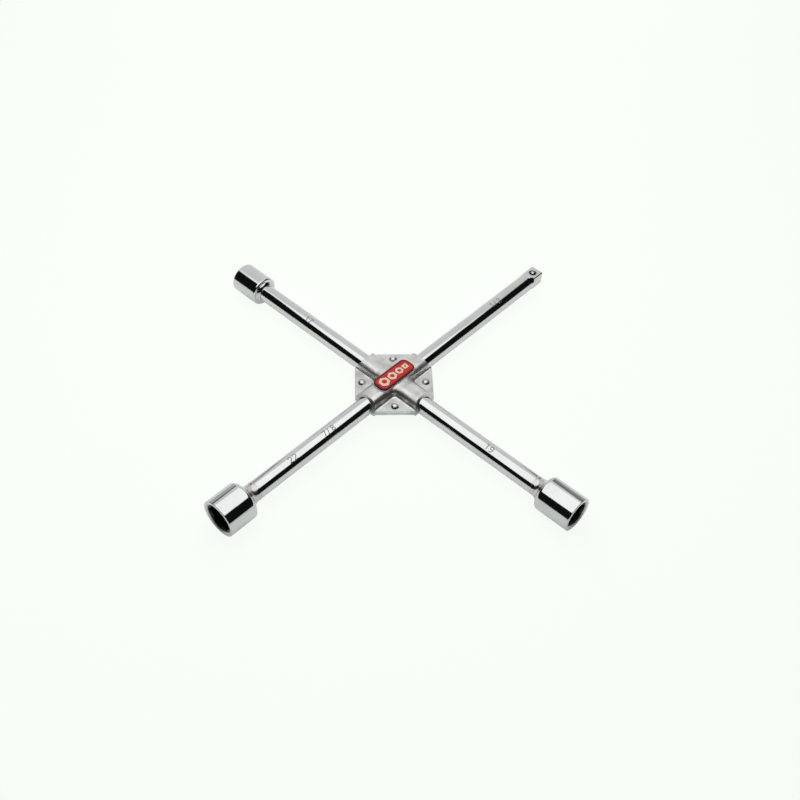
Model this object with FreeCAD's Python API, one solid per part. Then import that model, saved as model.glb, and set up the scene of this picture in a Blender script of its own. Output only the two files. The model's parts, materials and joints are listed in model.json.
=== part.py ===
"""Four-way lug wrench: two round bars crossing in a half-lap joint, clamped between two stamped
plates held by four rivets, with three hexagon sockets and a half-inch square drive on the bar ends.

Row frame, millimetres: origin at the crossing of the bars' axes, +Z up, normal to both bars.
+X carries the 19 mm socket, -X the 17 mm socket, -Y the 22 mm socket and +Y the square drive.
"""
import FreeCAD, Part
import math
import os
from FreeCAD import Vector

# ---- Bars -------------------------------------------------------------------------------------
BAR_R = 8.0
LAP_HALF = BAR_R              # half length of the notch that each bar has for the other
GROOVE_HALF = 1.3             # half width of the weld groove turned on a bar end and a socket neck
GROOVE_ROOT_R = 6.4           # radius that the weld groove goes down to
WELD_CROWN = 0.12             # how far a dressed ring weld stands above the bar

# ---- Sockets: one row each, all measured from the crossing along the arm ------------------------
HEX_CLEARANCE = 0.2           # a hexagon is this much wider than its nut
RIM_ROUND = 0.5               # outer edge of a socket's mouth
LEAD_IN = 1.5                 # the mouth's cone is this much wider than the hexagon's corners
LEAD_ANGLE = 50.0             # half angle of the mouth's cone
LEAD_OVERRUN = 0.5            # the cone's small end is this much inside the hexagon's flats
RELIEF_INSET = 0.6            # the hole behind a hexagon is this much inside its flats
SHOULDER_ANGLE = 60.0         # slope of the shoulder between neck and socket, from the axis
DRILL_ANGLE = 59.0            # half angle of a drill point

NECKED_SOCKETS = {
    "22": {"hex": 22.0, "outer_r": 16.6, "mouth": 197.0, "barrel": 24.0, "weld": 159.5,
           "hex_depth": 18.0, "relief_depth": 25.0, "turn": -90.0},
    "19": {"hex": 19.0, "outer_r": 15.0, "mouth": 197.0, "barrel": 29.5, "weld": 155.5,
           "hex_depth": 18.0, "relief_depth": 25.0, "turn": 0.0},
}
SHOULDER_ROUND = 3.6
NECK_ROUND = 7.5

SLEEVE_HEX = 17.0
SLEEVE_R = 13.6
SLEEVE_MOUTH = 195.0
SLEEVE_BACK = 166.0
SLEEVE_BACK_ROUND = 1.8
SLEEVE_HEX_DEPTH = 15.0
SLEEVE_SEAT = 175.0           # the bar's end stands on a step here
SLEEVE_STEP_R = 7.0
FILLET_WELD = 2.4             # leg of the weld behind the plain socket
FILLET_CROWN = 0.56           # middle of its face, as a part of the leg, out from the corner

# ---- Square drive -------------------------------------------------------------------------------
DRIVE_TIP = 200.0
DRIVE_HALF = 12.7 / 2
DRIVE_CORNER_R = 8.5          # the square's corners are turned to this radius
DRIVE_LENGTH = 13.0
DRIVE_SHOULDER = 0.6          # height of the small step behind the square
DRIVE_RAMP = 4.0              # length of the slope from round to square
DRIVE_TIP_CHAMFER = 0.8

BALL_R = 2.5
BALL_SET_BACK = 7.4           # ball's centre behind the drive's tip
BALL_STANDS_OUT = 1.2
BALL_CLEARANCE = 0.05
BALL_HOLE_BOTTOM = -4.2
LIP_THICKNESS = 0.45          # metal staked over the edge of the ball's hole
STAKE_INNER_R = 2.8           # groove that the staking punch leaves round the lip
STAKE_OUTER_R = 3.8
STAKE_DEPTH = 0.4
SPRING_WIRE_R = 0.28
SPRING_MEAN_R = 1.75
SPRING_PITCH = 1.0
SPRING_GAP = 0.02             # between the spring's top and the ball

# ---- Hub plates ---------------------------------------------------------------------------------
PLATE_T = 2.4
PLATE_FLAT = 33.5             # centre to the straight edges, which face the diagonals
PLATE_CORNER = 36.6           # centre to the cut corners, where the bars come out
MOUTH_LEAN = 4.4              # how far the crown of a tunnel's mouth stands back from its foot
TUNNEL_ROUND = 7.5            # outer round along a tunnel's shoulders
HOLLOW_ROUND = 7.4            # and inside, where the plate is coined tight on the bars
TUNNEL_CORNER = 4.0           # round in plan, where two tunnels meet
FOOT_ROUND = 2.5              # round between a tunnel's wall and the flange, outside
FOOT_UNDER_ROUND = 1.2        # and inside
EDGE_ROUND = 0.4              # rolled edge that the shears leave, outside
SEAM_ROUND = 0.3              # and where the two plates meet

RIVET_PLACE = 27.5            # centre of the hub to each rivet, on the diagonals
RIVET_SHANK_R = 2.1
RIVET_HEAD_R = 3.6
RIVET_HEAD_H = 2.3
RIVET_TAIL_H = 1.5

# ---- Weld beads of the half-lap joint, in the corners between one bar's flanks and the other's notch ---
BEAD_LOW = 2.0
BEAD_HIGH = 5.6
BEAD_HALF_LENGTH = 6.6
BEAD_INNER = 4.0              # middle of the joint to a bead's inner side
BEAD_INSET = 0.4              # a bead stays this far inside the bar's round

# ---- Badge, lying along the Y bar ------------------------------------------------------------------
BADGE_LENGTH = 40.0
BADGE_WIDTH = 15.6
BADGE_CORNER = 5.2
BADGE_RIM = 1.6
BADGE_HEIGHT = 1.3
BADGE_FLOOR = 0.5
BADGE_CROWN = 0.25
BADGE_EDGE_ROUND = 0.4
ENAMEL_DROP = 0.15            # the enamel's edge is this far below the rim
TAPE_T = 0.3
TAPE_INSET = 1.0
SEAT_MARGIN = 0.6             # the stamped seat is this much larger than the badge all round
SEAT_RISE = 0.3
SEAT_ROUND = 0.5
SEAT_EMBED = 0.1              # the seat starts this far outside the bar's crown

# ---- Worked out -------------------------------------------------------------------------------------
TUNNEL_HALF = BAR_R + PLATE_T
SEAT_TOP = TUNNEL_HALF + SEAT_RISE
SPARE = 6.0                   # how far a trimming solid runs past what it trims
CUT = 1.0                     # how far a cutting solid runs past what it cuts
X_AXIS = Vector(1, 0, 0)
Y_AXIS = Vector(0, 1, 0)
Z_AXIS = Vector(0, 0, 1)
ORIGIN = Vector(0, 0, 0)


def box(low, high):
    size = [b - a for a, b in zip(low, high)]
    return Part.makeBox(size[0], size[1], size[2], Vector(*low))


def rod(radius, start, end, axis=X_AXIS):
    return Part.makeCylinder(radius, end - start, axis * start, axis)


def turned(points):
    """Solid of revolution about X, from (place along X, radius) corners."""
    wire = Part.makePolygon([Vector(s, r, 0) for s, r in points + points[:1]])
    return Part.Face(wire).revolve(ORIGIN, X_AXIS, 360)


def faced(shape, angle):
    """Turn a shape made along +X to point along another arm."""
    turned_shape = shape.copy()
    turned_shape.rotate(ORIGIN, Z_AXIS, angle)
    return turned_shape


def circles_at(shape, place, radius):
    """Circular edges about the X axis at one place along it."""
    found = []
    for edge in shape.Edges:
        curve = edge.Curve
        if not isinstance(curve, Part.Circle):
            continue
        if abs(curve.Center.x - place) < 1e-4 and abs(curve.Radius - radius) < 1e-4:
            found.append(edge)
    return found


def hexagon_prism(across_flats, start, end):
    corner_r = across_flats / 2 / math.cos(math.radians(30))
    angles = [math.radians(60 * i) for i in range(7)]
    corners = [Vector(start, corner_r * math.cos(a), corner_r * math.sin(a)) for a in angles]
    return Part.Face(Part.makePolygon(corners)).extrude(X_AXIS * (end - start))


# ---- Bars and their welds ---------------------------------------------------------------------------
def groove(weld_place):
    """Ring of metal between two butted ends, dressed to a low crown."""
    left = Vector(weld_place - GROOVE_HALF, BAR_R, 0)
    root = Vector(weld_place, GROOVE_ROOT_R, 0)
    right = Vector(weld_place + GROOVE_HALF, BAR_R, 0)
    crown = Vector(weld_place, BAR_R + WELD_CROWN, 0)
    edges = [Part.LineSegment(left, root).toShape(), Part.LineSegment(root, right).toShape()]
    edges.append(Part.Arc(right, crown, left).toShape())
    return Part.Face(Part.Wire(edges)).revolve(ORIGIN, X_AXIS, 360)


def bevelled_rod(start, end):
    """Rod along X whose +X end is bevelled for a butt weld."""
    points = [(start, 0), (start, BAR_R), (end - GROOVE_HALF, BAR_R), (end, GROOVE_ROOT_R), (end, 0)]
    return turned(points)


def bar_x():
    right = bevelled_rod(0, NECKED_SOCKETS["19"]["weld"])
    left = rod(BAR_R, -SLEEVE_SEAT, 0)
    whole = right.fuse(left).removeSplitter()
    return whole.cut(box((-LAP_HALF, -BAR_R - CUT, 0), (LAP_HALF, BAR_R + CUT, BAR_R + CUT)))


def drive_outline():
    """Side view of the drive end: half height at each place along the bar."""
    square_start = DRIVE_TIP - DRIVE_LENGTH
    ramp_start = square_start - DRIVE_RAMP
    step_h = DRIVE_HALF + DRIVE_SHOULDER
    return [(ramp_start - SPARE, BAR_R + CUT), (ramp_start - SPARE / 2, BAR_R + CUT / 2),
            (ramp_start, BAR_R), (square_start - DRIVE_SHOULDER, step_h), (square_start, DRIVE_HALF),
            (DRIVE_TIP - DRIVE_TIP_CHAMFER, DRIVE_HALF),
            (DRIVE_TIP, DRIVE_HALF - DRIVE_TIP_CHAMFER)]


def drive_wedge():
    outline = drive_outline()
    corners = [Vector(s, 0, h) for s, h in outline]
    corners += [Vector(s, 0, -h) for s, h in reversed(outline)]
    face = Part.Face(Part.makePolygon(corners + corners[:1]))
    face.translate(Y_AXIS * (-BAR_R - CUT))
    return face.extrude(Y_AXIS * 2 * (BAR_R + CUT))


def drive_end():
    """The bar's end, swelled a little and milled from round to a half-inch square, along +X."""
    start = drive_outline()[0][0]
    swell_start = DRIVE_TIP - DRIVE_LENGTH - DRIVE_RAMP
    swell_end = DRIVE_TIP - DRIVE_LENGTH
    blank = turned([(start, 0), (start, BAR_R), (swell_start, BAR_R), (swell_end, DRIVE_CORNER_R),
                    (DRIVE_TIP, DRIVE_CORNER_R), (DRIVE_TIP, 0)])
    upright = drive_wedge()
    flat = upright.copy()
    flat.rotate(ORIGIN, X_AXIS, 90)
    return blank.common(upright).common(flat)


def ball_hole():
    """Blind hole for the spring and ball, its edge staked in over the ball."""
    place = Vector(DRIVE_TIP - BALL_SET_BACK, 0, 0)
    hole_r = BALL_R + BALL_CLEARANCE
    lip_bottom = DRIVE_HALF - LIP_THICKNESS
    ball_z = ball_centre_z()
    lip_r = math.sqrt(hole_r ** 2 - (lip_bottom - ball_z) ** 2)
    mouth_r = math.sqrt(hole_r ** 2 - (DRIVE_HALF - ball_z) ** 2)
    bore = Part.makeCylinder(hole_r, ball_z - BALL_HOLE_BOTTOM, place + Z_AXIS * BALL_HOLE_BOTTOM)
    shell = Part.makeSphere(hole_r, place + Z_AXIS * ball_z)
    under_lip = shell.common(box((place.x - BALL_R - CUT, -BALL_R - CUT, ball_z),
                                 (place.x + BALL_R + CUT, BALL_R + CUT, lip_bottom)))
    mouth = Part.makeCone(lip_r, mouth_r, LIP_THICKNESS, place + Z_AXIS * lip_bottom)
    return bore.fuse(under_lip).fuse(mouth)


def stake_groove():
    """Round groove with an upright inner wall and a sloping outer one."""
    bottom = Vector(DRIVE_TIP - BALL_SET_BACK, 0, DRIVE_HALF - STAKE_DEPTH)
    cone = Part.makeCone(STAKE_INNER_R, STAKE_OUTER_R, STAKE_DEPTH, bottom)
    return cone.cut(Part.makeCylinder(STAKE_INNER_R, STAKE_DEPTH, bottom))


def ball_centre_z():
    return DRIVE_HALF + BALL_STANDS_OUT - BALL_R


def bar_y():
    start = drive_outline()[0][0]
    middle = rod(BAR_R, 0, start)
    drive = drive_end().cut(ball_hole()).cut(stake_groove())
    plus = faced(middle.fuse(drive).removeSplitter(), 90)
    minus = faced(bevelled_rod(0, NECKED_SOCKETS["22"]["weld"]), -90)
    whole = plus.fuse(minus).removeSplitter()
    return whole.cut(box((-BAR_R - CUT, -LAP_HALF, -BAR_R - CUT), (BAR_R + CUT, LAP_HALF, 0)))


def crossing_beads():
    """Two weld beads in the corners between the upper bar's flanks and the notch's walls."""
    blank = box((BEAD_INNER, -BEAD_HALF_LENGTH, BEAD_LOW), (LAP_HALF, BEAD_HALF_LENGTH, BEAD_HIGH))
    blank = blank.common(rod(BAR_R - BEAD_INSET, 0, 2 * LAP_HALF))
    bead = blank.cut(rod(BAR_R, -2 * LAP_HALF, 2 * LAP_HALF, Y_AXIS))
    return Part.makeCompound([bead, faced(bead, 180)])


def crossing_weld_bottom():
    beads = crossing_beads()
    beads.rotate(ORIGIN, X_AXIS, 180)
    return faced(beads, 90)


# ---- Sockets --------------------------------------------------------------------------------------
def mouth_cone(across_flats, mouth):
    corner_r = across_flats / 2 / math.cos(math.radians(30)) + LEAD_IN
    inner_r = across_flats / 2 - LEAD_OVERRUN
    length = (corner_r - inner_r) / math.tan(math.radians(LEAD_ANGLE))
    cone = Part.makeCone(inner_r, corner_r, length, Vector(mouth - length, 0, 0), X_AXIS)
    return cone.fuse(rod(corner_r, mouth, mouth + CUT))


def necked_socket(size):
    s = NECKED_SOCKETS[size]
    outer_r = s["outer_r"]
    shoulder_run = (outer_r - BAR_R) / math.tan(math.radians(SHOULDER_ANGLE))
    rounding = SHOULDER_ROUND * math.tan(math.radians(SHOULDER_ANGLE / 2))
    shoulder_end = s["mouth"] - s["barrel"] - rounding
    shoulder_start = shoulder_end - shoulder_run
    body = turned([(s["weld"], 0), (s["weld"], GROOVE_ROOT_R), (s["weld"] + GROOVE_HALF, BAR_R),
                   (shoulder_start, BAR_R), (shoulder_end, outer_r), (s["mouth"], outer_r),
                   (s["mouth"], 0)])
    body = body.makeFillet(SHOULDER_ROUND, circles_at(body, shoulder_end, outer_r))
    body = body.makeFillet(NECK_ROUND, circles_at(body, shoulder_start, BAR_R))
    body = body.makeFillet(RIM_ROUND, circles_at(body, s["mouth"], outer_r))
    across = s["hex"] + HEX_CLEARANCE
    hex_end = s["mouth"] - s["hex_depth"]
    relief_r = across / 2 - RELIEF_INSET
    relief_end = s["mouth"] - s["relief_depth"]
    point = relief_r / math.tan(math.radians(DRILL_ANGLE))
    relief = turned([(relief_end - point, 0), (relief_end, relief_r), (hex_end + CUT, relief_r),
                     (hex_end + CUT, 0)])
    body = body.cut(hexagon_prism(across, hex_end, s["mouth"] + CUT))
    body = body.cut(relief)
    body = body.cut(mouth_cone(across, s["mouth"]))
    return faced(body, s["turn"])


def sleeve_socket():
    """Plain round socket whose back is bored for the bar."""
    body = rod(SLEEVE_R, SLEEVE_BACK, SLEEVE_MOUTH)
    body = body.makeFillet(SLEEVE_BACK_ROUND, circles_at(body, SLEEVE_BACK, SLEEVE_R))
    body = body.makeFillet(RIM_ROUND, circles_at(body, SLEEVE_MOUTH, SLEEVE_R))
    across = SLEEVE_HEX + HEX_CLEARANCE
    hex_end = SLEEVE_MOUTH - SLEEVE_HEX_DEPTH
    body = body.cut(rod(BAR_R, SLEEVE_BACK - CUT, SLEEVE_SEAT))
    body = body.cut(rod(SLEEVE_STEP_R, SLEEVE_SEAT - CUT, hex_end + CUT))
    body = body.cut(hexagon_prism(across, hex_end, SLEEVE_MOUTH + CUT))
    body = body.cut(mouth_cone(across, SLEEVE_MOUTH))
    return faced(body, 180)


def sleeve_weld():
    """Fillet weld with a slightly crowned face, in the corner between the bar and the socket's back."""
    on_bar = Vector(SLEEVE_BACK - FILLET_WELD, BAR_R, 0)
    corner = Vector(SLEEVE_BACK, BAR_R, 0)
    on_back = Vector(SLEEVE_BACK, BAR_R + FILLET_WELD, 0)
    crown = FILLET_WELD * FILLET_CROWN
    middle = Vector(SLEEVE_BACK - crown, BAR_R + crown, 0)
    edges = [Part.LineSegment(on_bar, corner).toShape(), Part.LineSegment(corner, on_back).toShape()]
    edges.append(Part.Arc(on_back, middle, on_bar).toShape())
    return faced(Part.Face(Part.Wire(edges)).revolve(ORIGIN, X_AXIS, 360), 180)


# ---- Hub plates -------------------------------------------------------------------------------------
def cross_edges(half, reach, corner):
    """Edges in plan of a cross with rounded inner corners."""
    edges = []
    for quarter in range(4):
        turn = FreeCAD.Rotation(Z_AXIS, 90 * quarter)
        centre = half + corner
        middle = centre - corner * math.cos(math.radians(45))
        end_a = turn.multVec(Vector(reach, half, 0))
        arc_a = turn.multVec(Vector(centre, half, 0))
        arc_m = turn.multVec(Vector(middle, middle, 0))
        arc_b = turn.multVec(Vector(half, centre, 0))
        end_b = turn.multVec(Vector(half, reach, 0))
        next_a = turn.multVec(Vector(-half, reach, 0))
        edges.append(Part.LineSegment(end_a, arc_a).toShape())
        edges.append(Part.Arc(arc_a, arc_m, arc_b).toShape())
        edges.append(Part.LineSegment(arc_b, end_b).toShape())
        edges.append(Part.LineSegment(end_b, next_a).toShape())
    return edges


def side_edges(shape, half, corner, z):
    """Edges that run along a cross's walls at one height, leaving out its four ends."""
    found = []
    centre = half + corner
    for edge in shape.Edges:
        middle = edge.valueAt((edge.FirstParameter + edge.LastParameter) / 2)
        if abs(middle.z - z) > 1e-4:
            continue
        x, y = abs(middle.x), abs(middle.y)
        on_wall = (abs(y - half) < 1e-4 and x > centre) or (abs(x - half) < 1e-4 and y > centre)
        on_round = abs(math.hypot(x - centre, y - centre) - corner) < 1e-4 and max(x, y) < centre
        if on_wall or on_round:
            found.append(edge)
    return found


def cross_block(half, reach, corner, height, shoulder_round):
    """Crossed tunnels as a solid block with rounded shoulders."""
    block = Part.Face(Part.Wire(cross_edges(half, reach, corner))).extrude(Z_AXIS * height)
    return block.makeFillet(shoulder_round, side_edges(block, half, corner, height))


def plate_outline():
    """Upright prism of the plate's outline: a square set corner-on to the bars, its corners cut off."""
    half_corner = PLATE_FLAT * math.sqrt(2) - PLATE_CORNER
    corners = []
    for quarter in range(4):
        turn = FreeCAD.Rotation(Z_AXIS, 90 * quarter)
        corners.append(turn.multVec(Vector(PLATE_CORNER, -half_corner, -SPARE)))
        corners.append(turn.multVec(Vector(PLATE_CORNER, half_corner, -SPARE)))
    prism = Part.Face(Part.makePolygon(corners + corners[:1])).extrude(Z_AXIS * (TUNNEL_HALF + 2 * SPARE))
    lean = MOUTH_LEAN / TUNNEL_HALF
    top = TUNNEL_HALF + SPARE
    out = PLATE_CORNER + SPARE
    side = [Vector(PLATE_CORNER, 0, 0), Vector(PLATE_CORNER - lean * top, 0, top), Vector(out, 0, top),
            Vector(out, 0, 0)]
    face = Part.Face(Part.makePolygon(side + side[:1]))
    face.translate(Y_AXIS * -2 * TUNNEL_HALF)
    wedge = face.extrude(Y_AXIS * 4 * TUNNEL_HALF)
    for quarter in range(4):
        prism = prism.cut(faced(wedge, 90 * quarter))
    return prism


def rivet_places():
    step = RIVET_PLACE / math.sqrt(2)
    return {"front": (step, -step), "right": (step, step), "back": (-step, step), "left": (-step, -step)}


def bare_plate():
    """Stamped plate above the bars: a flat flange pressed up into two crossed tunnels."""
    reach = PLATE_CORNER + SPARE
    tunnels = cross_block(TUNNEL_HALF, reach, TUNNEL_CORNER, TUNNEL_HALF, TUNNEL_ROUND)
    plate = tunnels.fuse(box((-reach, -reach, 0), (reach, reach, PLATE_T))).removeSplitter()
    plate = plate.makeFillet(FOOT_ROUND, side_edges(plate, TUNNEL_HALF, TUNNEL_CORNER, PLATE_T))
    inner_corner = TUNNEL_CORNER + PLATE_T
    hollow = cross_block(BAR_R, reach + CUT, inner_corner, BAR_R, HOLLOW_ROUND)
    plate = plate.cut(hollow)
    plate = plate.makeFillet(FOOT_UNDER_ROUND, side_edges(plate, BAR_R, inner_corner, 0))
    return plate.common(plate_outline())


def rivet_holes():
    holes = []
    for x, y in rivet_places().values():
        holes.append(Part.makeCylinder(RIVET_SHANK_R, 4 * SPARE, Vector(x, y, -2 * SPARE)))
    return holes


def flange_rim(shape, z):
    """The straight outer edges of a plate's flange at one height."""
    found = []
    for edge in shape.Edges:
        middle = edge.valueAt((edge.FirstParameter + edge.LastParameter) / 2)
        on_flat = abs(abs(middle.x) + abs(middle.y) - PLATE_FLAT * math.sqrt(2)) < 1e-4
        if on_flat and abs(middle.z - z) < 1e-4:
            found.append(edge)
    return found


def finished_plate(plate):
    """Pierced for the rivets, with the flange's edges rounded as the shears leave them."""
    plate = plate.cut(rivet_holes())
    plate = plate.makeFillet(EDGE_ROUND, flange_rim(plate, PLATE_T))
    return plate.makeFillet(SEAM_ROUND, flange_rim(plate, 0))


def hub_plate_bottom():
    plate = finished_plate(bare_plate())
    plate.rotate(ORIGIN, X_AXIS, 180)
    return plate


def badge_block(inset, low, high):
    """Rounded rectangle lying along Y, smaller than the badge by an inset."""
    half_x = BADGE_WIDTH / 2 - inset
    half_y = BADGE_LENGTH / 2 - inset
    block = box((-half_x, -half_y, low), (half_x, half_y, high))
    upright = [e for e in block.Edges if abs(e.tangentAt(e.FirstParameter).z) > 0.9]
    return block.makeFillet(BADGE_CORNER - inset, upright)


def rim_edges(shape, z):
    return [e for e in shape.Edges if abs(e.BoundBox.ZMin - z) < 1e-4 and abs(e.BoundBox.ZMax - z) < 1e-4]


def hub_plate_top():
    seat = badge_block(-SEAT_MARGIN, BAR_R + SEAT_EMBED, SEAT_TOP)
    seat = seat.makeFillet(SEAT_ROUND, rim_edges(seat, SEAT_TOP))
    reach = PLATE_CORNER + SPARE
    hollow = cross_block(BAR_R, reach, TUNNEL_CORNER + PLATE_T, BAR_R, HOLLOW_ROUND)
    return finished_plate(bare_plate().fuse(seat.cut(hollow)).removeSplitter())


# ---- Rivets ---------------------------------------------------------------------------------------
def dome(height):
    """Rivet head as a slice of a ball, standing on z = 0."""
    ball_r = (RIVET_HEAD_R ** 2 + height ** 2) / (2 * height)
    ball = Part.makeSphere(ball_r, Vector(0, 0, height - ball_r))
    return ball.common(box((-ball_r, -ball_r, 0), (ball_r, ball_r, height + CUT)))


def rivet(x, y):
    head = dome(RIVET_HEAD_H)
    head.translate(Z_AXIS * PLATE_T)
    tail = dome(RIVET_TAIL_H)
    tail.rotate(ORIGIN, X_AXIS, 180)
    tail.translate(Z_AXIS * -PLATE_T)
    shank = Part.makeCylinder(RIVET_SHANK_R, 2 * PLATE_T, Vector(0, 0, -PLATE_T))
    whole = shank.fuse([head, tail]).removeSplitter()
    whole.translate(Vector(x, y, 0))
    return whole


# ---- Badge ----------------------------------------------------------------------------------------
def badge_tape():
    return badge_block(TAPE_INSET, SEAT_TOP, SEAT_TOP + TAPE_T)


def badge_frame():
    """Shallow tray with a raised rim."""
    low = SEAT_TOP + TAPE_T
    high = low + BADGE_HEIGHT
    tray = badge_block(0, low, high)
    tray = tray.makeFillet(BADGE_EDGE_ROUND, rim_edges(tray, high))
    return tray.cut(badge_block(BADGE_RIM, low + BADGE_FLOOR, high + CUT))


def badge_face():
    """Enamel that fills the tray, crowned a little across its width."""
    low = SEAT_TOP + TAPE_T + BADGE_FLOOR
    side = SEAT_TOP + TAPE_T + BADGE_HEIGHT - ENAMEL_DROP
    half = BADGE_WIDTH / 2 - BADGE_RIM
    crown_r = (half ** 2 + BADGE_CROWN ** 2) / (2 * BADGE_CROWN)
    near_end = Vector(0, -BADGE_LENGTH / 2, side + BADGE_CROWN - crown_r)
    crown = Part.makeCylinder(crown_r, BADGE_LENGTH, near_end, Y_AXIS)
    return badge_block(BADGE_RIM, low, side + CUT).common(crown)


# ---- Detent ---------------------------------------------------------------------------------------
def detent_place():
    return Vector(0, DRIVE_TIP - BALL_SET_BACK, 0)


def detent_ball():
    return Part.makeSphere(BALL_R, detent_place() + Z_AXIS * ball_centre_z())


def detent_spring():
    """Open coil spring between the hole's bottom and the ball."""
    low = BALL_HOLE_BOTTOM + SPRING_WIRE_R
    contact = math.sqrt((BALL_R + SPRING_WIRE_R) ** 2 - SPRING_MEAN_R ** 2)
    high = ball_centre_z() - contact - SPRING_GAP
    helix = Part.makeHelix(SPRING_PITCH, high - low, SPRING_MEAN_R)
    section = Part.Wire(Part.makeCircle(SPRING_WIRE_R, Vector(SPRING_MEAN_R, 0, 0), Y_AXIS))
    spring = Part.Wire(helix).makePipeShell([section], True, True)
    spring.translate(detent_place() + Z_AXIS * low)
    return spring


def build():
    parts = {
        "bar_x": bar_x(),
        "bar_y": bar_y(),
        "socket_22": necked_socket("22"),
        "socket_19": necked_socket("19"),
        "socket_17": sleeve_socket(),
        "weld_17": sleeve_weld(),
        "crossing_weld_top": crossing_beads(),
        "crossing_weld_bottom": crossing_weld_bottom(),
        "hub_plate_top": hub_plate_top(),
        "hub_plate_bottom": hub_plate_bottom(),
        "badge_tape": badge_tape(),
        "badge_frame": badge_frame(),
        "badge_face": badge_face(),
        "detent_ball": detent_ball(),
        "detent_spring": detent_spring(),
    }
    for size, s in NECKED_SOCKETS.items():
        parts[f"weld_{size}"] = faced(groove(s["weld"]), s["turn"])
    for name, (x, y) in rivet_places().items():
        parts[f"rivet_{name}"] = rivet(x, y)
    return parts


os.makedirs("parts", exist_ok=True)
for name, shape in build().items():
    bounds = shape.BoundBox
    print(f"{name:22s} valid={shape.isValid()} solids={len(shape.Solids)} volume={shape.Volume:9.1f} "
          f"x {bounds.XMin:.1f}..{bounds.XMax:.1f} y {bounds.YMin:.1f}..{bounds.YMax:.1f} "
          f"z {bounds.ZMin:.1f}..{bounds.ZMax:.1f}")
    shape.exportStep(f"parts/{name}.step")
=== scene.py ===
"""Looks for the four-way lug wrench: chrome, satin plate and badge materials, the badge's nut marks, the
size stamps on the bars, and a studio with a pale floor, an overhead softbox and pale sheets."""
import json
import math
import bpy
from mathutils import Matrix, Vector


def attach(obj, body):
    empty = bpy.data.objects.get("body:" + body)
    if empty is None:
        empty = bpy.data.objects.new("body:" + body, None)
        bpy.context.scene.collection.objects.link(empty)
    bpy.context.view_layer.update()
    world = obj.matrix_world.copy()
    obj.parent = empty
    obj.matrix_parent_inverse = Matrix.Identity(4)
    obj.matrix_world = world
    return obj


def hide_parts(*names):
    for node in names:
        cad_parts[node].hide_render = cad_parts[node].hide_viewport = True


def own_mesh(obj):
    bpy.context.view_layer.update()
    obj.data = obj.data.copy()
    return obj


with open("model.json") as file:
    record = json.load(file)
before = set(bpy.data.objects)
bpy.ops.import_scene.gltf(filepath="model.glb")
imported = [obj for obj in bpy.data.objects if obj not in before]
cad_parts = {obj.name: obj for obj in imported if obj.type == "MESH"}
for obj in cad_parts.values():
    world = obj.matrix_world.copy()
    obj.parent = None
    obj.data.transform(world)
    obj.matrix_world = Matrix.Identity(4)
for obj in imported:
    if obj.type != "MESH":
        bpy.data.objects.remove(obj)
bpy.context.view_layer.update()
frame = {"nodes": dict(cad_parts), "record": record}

MM = 0.001
MICRON = 0.000001
BODY = "wrench"

# ---- Camera: where the wrench is seen from -------------------------------------------------------
CAMERA_AZIMUTH = math.radians(41.39)
CAMERA_ELEVATION = math.radians(48.61)
CAMERA_ROLL = math.radians(2.31)
CAMERA_DISTANCE = 0.8843      # metres from the crossing of the bars
CAMERA_RIGHT = 0.0053         # and this much aside
CAMERA_UP = -0.01377
CAMERA_LENS = 46.08           # mm
CAMERA_SENSOR = 36.0


def add_camera():
    """Camera above the corner between two arms, the crossing of the bars near the picture's middle."""
    back = Vector((math.sin(CAMERA_AZIMUTH) * math.cos(CAMERA_ELEVATION),
                   -math.cos(CAMERA_AZIMUTH) * math.cos(CAMERA_ELEVATION), math.sin(CAMERA_ELEVATION)))
    level_right = Vector((math.cos(CAMERA_AZIMUTH), math.sin(CAMERA_AZIMUTH), 0))
    level_up = back.cross(level_right)
    right = level_right * math.cos(CAMERA_ROLL) + level_up * math.sin(CAMERA_ROLL)
    up = level_up * math.cos(CAMERA_ROLL) - level_right * math.sin(CAMERA_ROLL)
    camera = bpy.data.objects.new("camera", bpy.data.cameras.new("camera"))
    camera.data.lens = CAMERA_LENS
    camera.data.sensor_width = CAMERA_SENSOR
    spot = back * CAMERA_DISTANCE + right * CAMERA_RIGHT + up * CAMERA_UP
    turn = Matrix((right, up, back)).transposed().to_4x4()
    camera.matrix_world = Matrix.Translation(spot) @ turn
    bpy.context.collection.objects.link(camera)
    bpy.context.scene.camera = camera


# ---- Node helpers --------------------------------------------------------------------------------
def new_tree(name):
    """New material with its nodes and links."""
    material = bpy.data.materials.new(name)
    material.use_nodes = True
    return material, material.node_tree.nodes, material.node_tree.links


def add(nodes, kind, **values):
    """New node. A value called in_NAME sets the input NAME, and any other sets an attribute."""
    node = nodes.new(kind)
    for key, value in values.items():
        if key.startswith("in_"):
            node.inputs[key[3:].replace("_", " ")].default_value = value
        else:
            setattr(node, key, value)
    return node


def ramp(nodes, links, source, stops):
    """Colour ramp with stops (position, colour)."""
    node = nodes.new("ShaderNodeValToRGB")
    elements = node.color_ramp.elements
    while len(elements) < len(stops):
        elements.new(0.5)
    for element, (position, colour) in zip(elements, stops):
        element.position = position
        element.color = (*colour, 1)
    links.new(source, node.inputs["Fac"])
    return node


def greys(stops):
    """Stops (position, brightness) as stops of grey."""
    return [(position, (value, value, value)) for position, value in stops]


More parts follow.
